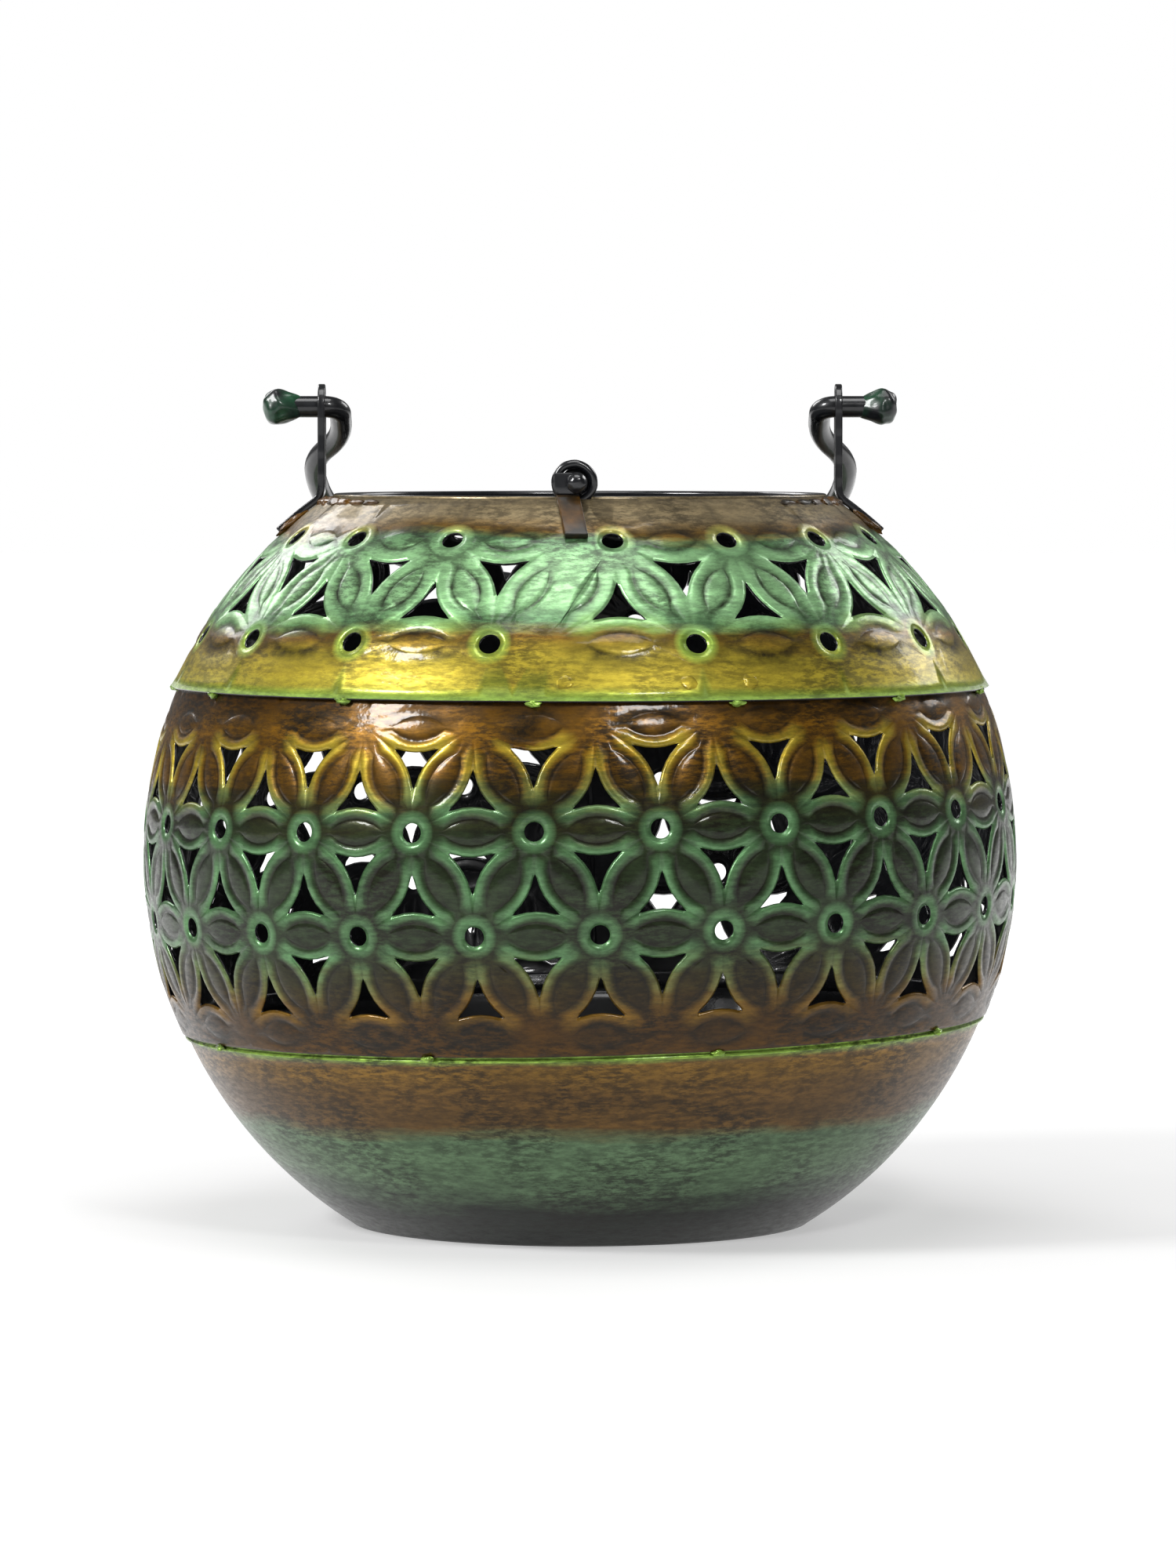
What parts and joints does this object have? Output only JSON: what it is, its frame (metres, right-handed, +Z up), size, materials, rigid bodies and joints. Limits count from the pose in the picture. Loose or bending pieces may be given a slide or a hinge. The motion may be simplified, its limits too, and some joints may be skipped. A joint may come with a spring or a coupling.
{
  "type": "tealight holder",
  "caption": "Pierced sheet-iron ball lantern in three shells with a swinging wire bail handle, a candle cup on its floor and a tealight.",
  "frame": {"origin": "middle of the flat foot under the ball, which is the bottom centre of the whole object", "axes": "+Z up, -Y towards the front with the catch, +X to the right, along the handle's pivot"},
  "size_m": [0.15, 0.15, 0.1439],
  "materials": {
    "patina_bowl": "brown band over dark green patina under gloss lacquer",
    "patina_band": "green patina with gold-brown edges under gloss lacquer",
    "patina_dome": "gold, brown and mint green patina under gloss lacquer",
    "black_hardware": "gloss black enamel",
    "green_knob": "gloss dark green enamel over melted steel",
    "tealight_foil": "thin drawn aluminium",
    "wax": "white paraffin wax",
    "wick_cotton": "waxed cotton"
  },
  "bodies": {
    "shell": {"bowl": "patina_bowl", "band": "patina_band", "dome": "patina_dome", "band_seam_weld": "patina_band", "top_seam_tacks": "patina_band", "bottom_seam_tacks": "patina_bowl", "left_lug": "black_hardware", "right_lug": "black_hardware", "lug_welds": "black_hardware", "catch_strip": "patina_dome", "catch_eye": "black_hardware", "catch_stud": "black_hardware", "catch_braze": "black_hardware", "candle_cup": "black_hardware", "cup_tacks": "black_hardware"},
    "handle": {"handle": "black_hardware", "left_knob": "green_knob", "right_knob": "green_knob"},
    "tealight": {"tealight_cup": "tealight_foil", "tealight_wax": "wax", "wick_tab": "tealight_foil", "wick": "wick_cotton"}
  },
  "joints": [
    {"name": "handle_swing", "type": "hinge", "parent": "shell", "child": "handle", "pos_m": [0, 0, 0.14], "axis": [1, 0, 0], "range_deg": [0, 233]},
    {"name": "tealight_lift", "type": "slide", "parent": "shell", "child": "tealight", "axis": [0, 0, 1], "range_m": [0, 0.15]}
  ]
}
